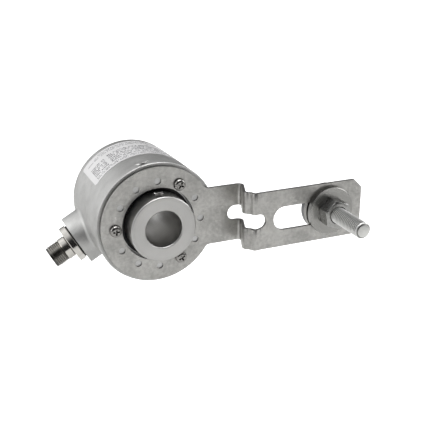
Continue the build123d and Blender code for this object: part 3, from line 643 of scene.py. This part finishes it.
def make_connector():
    """Plug shell: gland, collar with wrench flats, undercut, fine thread, rounded rim, socket."""
    mesh = bmesh.new()
    throat = SOCKET_R - 0.6 * MM
    shelf = INSERT_FACE - INSERT_FLANGE
    pitch = 1.0 * MM
    thread_start = COLLAR_END + 4.3 * MM
    thread_end = SHELL_END - 0.7 * MM
    plain_r = THREAD_R - 0.15 * MM
    root = THREAD_R - THREAD_DEPTH * pitch
    edge = 0.3 * MM
    lathe(mesh, [(GLAND_R - 0.1 * MM, SHELL_SEAT), (COLLAR_R - edge, SHELL_SEAT),
                 (COLLAR_R, SHELL_SEAT + edge), (COLLAR_R, COLLAR_END - edge),
                 (COLLAR_R - edge, COLLAR_END), (THREAD_R - 0.5 * MM, COLLAR_END)], 144, wrench_flats)
    lathe(mesh, [(throat, GLAND_START), (GLAND_R - 0.4 * MM, GLAND_START),
                 (GLAND_R, GLAND_START + 0.4 * MM), (GLAND_R, SHELL_SEAT)])
    lathe(mesh, [(plain_r - 0.3 * MM, COLLAR_END - 0.3 * MM), (plain_r - 0.3 * MM, COLLAR_END + 0.35 * MM),
                 (plain_r, COLLAR_END + 0.65 * MM), (plain_r, thread_start - 0.5 * MM),
                 (root - 0.05 * MM, thread_start), (root - 0.05 * MM, thread_start + 0.3 * MM)])
    thread(mesh, THREAD_R, pitch, thread_start, thread_end, entry=0.4 * MM, exit_=0.5 * MM)
    lathe(mesh, [(root - 0.05 * MM, thread_end - 0.3 * MM), (THREAD_R - 0.62 * MM, thread_end),
                 (THREAD_R - 0.62 * MM, SHELL_END - 0.2 * MM), (THREAD_R - 0.82 * MM, SHELL_END),
                 (SOCKET_R + 0.2 * MM, SHELL_END), (SOCKET_R, SHELL_END - 0.2 * MM),
                 (SOCKET_R, shelf), (throat, shelf), (throat, GLAND_START)])
    side = SHAFT_AXIS * math.cos(COLLAR_TURN) + PLUG_AXIS.cross(SHAFT_AXIS) * math.sin(COLLAR_TURN)
    return piece("connector_shell_threaded", placed(mesh, PLUG_ORIGIN, PLUG_AXIS, side), "stator",
                 finishes["nickel_plate"])


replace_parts(make_connector(), "connector_shell")


# ---------------------------------------------------------------- rating label
LABEL_SKIN = 0.10 * MM
PRINT_RISE = 0.012 * MM
CORNER_R = 1.4 * MM
label_low, label_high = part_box("rating_label")
LABEL_THICK = 0.12 * MM
BODY_R = label_high.z - LABEL_THICK  # housing radius under the label's front edge
HOUSING_FRONT_R = 29.9 * MM
HOUSING_REAR_R = 28.8 * MM
HOUSING_FRONT_Y = 1.9 * MM
HOUSING_REAR_Y = 49.0 * MM
DRAFT = (HOUSING_FRONT_R - HOUSING_REAR_R) / (HOUSING_REAR_Y - HOUSING_FRONT_Y)
LABEL_START = math.acos(label_high.x / label_high.z)
LABEL_END = math.acos(label_low.x / label_high.z)


def wrapped(along, y, rise):
    """Point over the drafted housing from a length along the label's long side."""
    radius = BODY_R - DRAFT * (y - label_low.y) + rise
    turn = LABEL_END - along / BODY_R
    return Vector((radius * math.cos(turn), y, radius * math.sin(turn)))


LABEL_LENGTH = (LABEL_END - LABEL_START) * BODY_R


def make_label():
    """Foil with rounded corners, wrapped over the housing."""
    mesh = bmesh.new()
    steps = 96
    low, high = label_low.y, label_high.y
    stations = [LABEL_LENGTH * index / steps for index in range(steps + 1)]
    stations += [CORNER_R * index / 8 for index in range(1, 8)]
    stations += [LABEL_LENGTH - CORNER_R * index / 8 for index in range(1, 8)]
    stations.sort()
    rows = []
    for along in stations:
        inset = max(CORNER_R - along, CORNER_R - (LABEL_LENGTH - along), 0.0)
        pull = CORNER_R - math.sqrt(max(CORNER_R ** 2 - inset ** 2, 0.0))
        near, far = low + pull, high - pull
        rows.append([mesh.verts.new(wrapped(along, y, rise)) for y, rise in (
            (near, 0.0), (near, LABEL_SKIN), (far, LABEL_SKIN), (far, 0.0))])
    for before, after in zip(rows, rows[1:]):
        for index in range(4):
            step = (index + 1) % 4
            mesh.faces.new((before[index], before[step], after[step], after[index]))
    cap(mesh, rows[0])
    cap(mesh, rows[-1])
    return piece("rating_label_foil", mesh, "stator", finishes["label_foil"])


def stamp(mesh, start, end, low, high):
    """One flat printed mark on the label, following its curve."""
    rise = LABEL_SKIN + PRINT_RISE
    steps = max(1, int((end - start) / (2 * MM)))
    rows = []
    for index in range(steps + 1):
        along = start + (end - start) * index / steps
        rows.append((mesh.verts.new(wrapped(along, low, rise)), mesh.verts.new(wrapped(along, high, rise))))
    for before, after in zip(rows, rows[1:]):
        mesh.faces.new((before[0], before[1], after[1], after[0]))


def print_row(mesh, rng, start, end, y, height, density=0.85):
    """A line of abstract marks grouped like words; they are bars and blocks, not characters."""
    along = start
    while along < end:
        word_end = min(end, along + rng.uniform(2.0, 6.5) * height)
        while along < word_end:
            width = rng.choice((0.28, 0.45, 0.62)) * height
            if rng.random() < density:
                shape = rng.random()
                low = y - height / 2 if shape < 0.75 else y
                top = y + height / 2 if shape > 0.25 else y + height * 0.1
                stamp(mesh, along, min(along + width, end), low, top)
            along += width + 0.18 * height
        along += 0.8 * height


def make_print():
    """Generic print: fine rows along both long edges, a block of short rows and a field of longer ones."""
    mesh = bmesh.new()
    rng = random.Random(7)
    left = 3.0 * MM
    right = LABEL_LENGTH - 3.0 * MM
    front, back = label_low.y, label_high.y
    fine = 0.75 * MM
    for index in range(2):
        print_row(mesh, rng, left, right, front + (2.2 + 1.5 * index) * MM, fine)
    for index in range(6):
        print_row(mesh, rng, left, left + 9.0 * MM, front + (6.0 + 1.8 * index) * MM, 1.0 * MM, 0.95)
    for index in range(6):
        inset = (4.0, 6.0, 2.0, 9.0, 5.0, 14.0)[index] * MM
        y = front + (6.2 + 2.0 * index) * MM
        print_row(mesh, rng, left + 11.0 * MM, right - inset, y, 1.15 * MM, 0.95)
    for index in range(3):
        y = back - (5.2 - 1.5 * index) * MM
        print_row(mesh, rng, left + 4.0 * MM * index, right - 8.0 * MM, y, fine)
    return piece("rating_label_print", mesh, "stator", finishes["label_ink"])


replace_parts(make_label(), "rating_label")
make_print()


# ---------------------------------------------------------------- rounded edges of the CAD pieces
EDGE_WIDTHS = {
    "torque_arm": 0.14, "housing": 0.12, "hollow_shaft": 0.08, "rear_cover": 0.10,
    "torque_arm_screws": 0.06, "rear_cover_screws": 0.06,
}


def soften(node, width):
    """Rounds a CAD piece's sharp edges a little, as the real part's deburred edges are."""
    obj = frame["nodes"][node]
    weld = obj.modifiers.new("join", "WELD")
    weld.merge_threshold = 0.001 * MM
    bevel = obj.modifiers.new("deburr", "BEVEL")
    bevel.width = width * MM
    bevel.segments = 2
    bevel.limit_method = "ANGLE"
    bevel.angle_limit = math.radians(40)
    bevel.use_clamp_overlap = True
    bevel.harden_normals = True


for node_name, edge_width in EDGE_WIDTHS.items():
    soften(node_name, edge_width)


# ---------------------------------------------------------------- studio
def area_light(name, place, target, width, height, radiance):
    """White softbox of a given size and surface brightness."""
    data = bpy.data.lights.new(name, "AREA")
    data.shape = "RECTANGLE"
    data.size = width
    data.size_y = height
    data.energy = radiance * math.pi * width * height
    light = bpy.data.objects.new(name, data)
    light.location = place
    light.rotation_euler = (Vector(target) - Vector(place)).to_track_quat("-Z", "Y").to_euler()
    bpy.context.scene.collection.objects.link(light)


def stage_object(name, mesh, color, glow, seen, lit):
    """Stage piece in a plain pale finish; seen is for the camera, lit for reflections and bounce."""
    data = bpy.data.meshes.new(name)
    mesh.to_mesh(data)
    mesh.free()
    obj = bpy.data.objects.new(name, data)
    bpy.context.scene.collection.objects.link(obj)
    finish = Finish(name, color, metallic=0.0, roughness=0.9, Specular_IOR_Level=0.0)
    finish.shader.inputs["Emission Color"].default_value = (1, 1, 1, 1)
    finish.shader.inputs["Emission Strength"].default_value = glow
    dress(obj, finish)
    obj.visible_camera = seen
    obj.visible_diffuse = lit
    obj.visible_glossy = lit
    obj.visible_transmission = seen
    obj.visible_shadow = lit


def flat_sheet(half_width, height):
    mesh = bmesh.new()
    bmesh.ops.create_grid(mesh, x_segments=1, y_segments=1, size=half_width)
    bmesh.ops.translate(mesh, verts=mesh.verts, vec=(0, 0, height))
    return mesh


def dome(radius, height):
    mesh = bmesh.new()
    bmesh.ops.create_uvsphere(mesh, u_segments=48, v_segments=24, radius=radius)
    bmesh.ops.translate(mesh, verts=mesh.verts, vec=(0, 0, height))
    bmesh.ops.reverse_faces(mesh, faces=mesh.faces)
    return mesh


class Sky:
    """World brightness built from soft patches in given directions."""

    def __init__(self, level):
        world = bpy.data.worlds.new("studio")
        world.use_nodes = True
        bpy.context.scene.world = world
        self.nodes = world.node_tree.nodes
        self.links = world.node_tree.links
        self.direction = self.nodes.new("ShaderNodeTexCoord").outputs["Generated"]
        self.total = None
        self.level = level

    def patch(self, toward, inner, outer, change):
        """Adds change within inner degrees of a direction, fading to nothing at outer degrees."""
        dot = self.nodes.new("ShaderNodeVectorMath")
        dot.operation = "DOT_PRODUCT"
        self.links.new(self.direction, dot.inputs[0])
        dot.inputs[1].default_value = Vector(toward).normalized()
        fade = self.nodes.new("ShaderNodeMapRange")
        fade.interpolation_type = "SMOOTHSTEP"
        self.links.new(dot.outputs["Value"], fade.inputs["Value"])
        fade.inputs["From Min"].default_value = math.cos(math.radians(outer))
        fade.inputs["From Max"].default_value = math.cos(math.radians(inner))
        fade.inputs["To Max"].default_value = change
        add = self.nodes.new("ShaderNodeMath")
        add.operation = "ADD"
        self.links.new(fade.outputs["Result"], add.inputs[0])
        if self.total is None:
            add.inputs[1].default_value = self.level
        else:
            self.links.new(self.total, add.inputs[1])
        self.total = add.outputs[0]

    def close(self):
        floor = self.nodes.new("ShaderNodeMath")
        floor.operation = "MAXIMUM"
        self.links.new(self.total, floor.inputs[0])
        floor.inputs[1].default_value = 0.02
        self.links.new(floor.outputs[0], self.nodes["Background"].inputs["Strength"])
        self.nodes["Background"].inputs["Color"].default_value = (1, 1, 1, 1)


cad_low, cad_high = cad_box
FLOOR_Z = cad_low.z - 60 * MM
stage_object("floor", flat_sheet(4.0, FLOOR_Z), (0.9, 0.9, 0.9), 0.75, seen=True, lit=False)
stage_object("backdrop", dome(3.9, FLOOR_Z), (0.2, 0.2, 0.2), 1.0, seen=True, lit=False)
stage_object("bounce_card", flat_sheet(4.0, FLOOR_Z - MM), (0.58, 0.58, 0.57), 0.21, seen=False, lit=True)

sky = Sky(0.26)
sky.patch((-0.13, -0.85, 0.50), 26, 55, -0.24)  # the dark room behind the camera
sky.patch((0.45, 0.85, 0.25), 25, 55, -0.16)    # darker wall behind the arm
sky.patch((-0.75, 0.55, 0.25), 15, 50, 0.95)    # lit wall on the left
sky.patch((0.0, 0.0, 1.0), 15, 55, 0.60)        # ceiling
sky.close()

area_light("top_softbox", (0.02, -0.05, 0.85), (0.0, 0.0, 0.0), 0.7, 0.5, 3.3)
area_light("left_softbox", (-0.80, 0.05, 0.40), (0.0, 0.0, 0.0), 0.5, 0.7, 1.2)
area_light("right_softbox", (0.80, -0.12, 0.34), (0.05, 0.0, 0.0), 0.45, 0.5, 2.4)

# ---------------------------------------------------------------- camera
CAMERA_TARGET = Vector((28.99, 0.0, 1.0)) * MM
CAMERA_AZIMUTH = math.radians(23.32)
CAMERA_ELEVATION = math.radians(20.90)
CAMERA_ROLL = math.radians(0.083)
CAMERA_DISTANCE = 401.1 * MM
CAMERA_LENS = 69.0

looking = Vector((
    math.sin(CAMERA_AZIMUTH) * math.cos(CAMERA_ELEVATION),
    math.cos(CAMERA_AZIMUTH) * math.cos(CAMERA_ELEVATION),
    -math.sin(CAMERA_ELEVATION),
))
camera_data = bpy.data.cameras.new("camera")
camera_data.lens = CAMERA_LENS
camera_data.sensor_width = 36.0
camera_data.clip_start = 0.01
camera = bpy.data.objects.new("camera", camera_data)
bpy.context.scene.collection.objects.link(camera)
camera.location = CAMERA_TARGET - looking * CAMERA_DISTANCE
camera.rotation_mode = "QUATERNION"
camera.rotation_quaternion = looking.to_track_quat("-Z", "Y")
camera.rotation_quaternion.rotate(Matrix.Rotation(CAMERA_ROLL, 3, looking).to_quaternion())
bpy.context.scene.camera = camera

view = bpy.context.scene.view_settings
view.view_transform = "Standard"
view.look = "None"
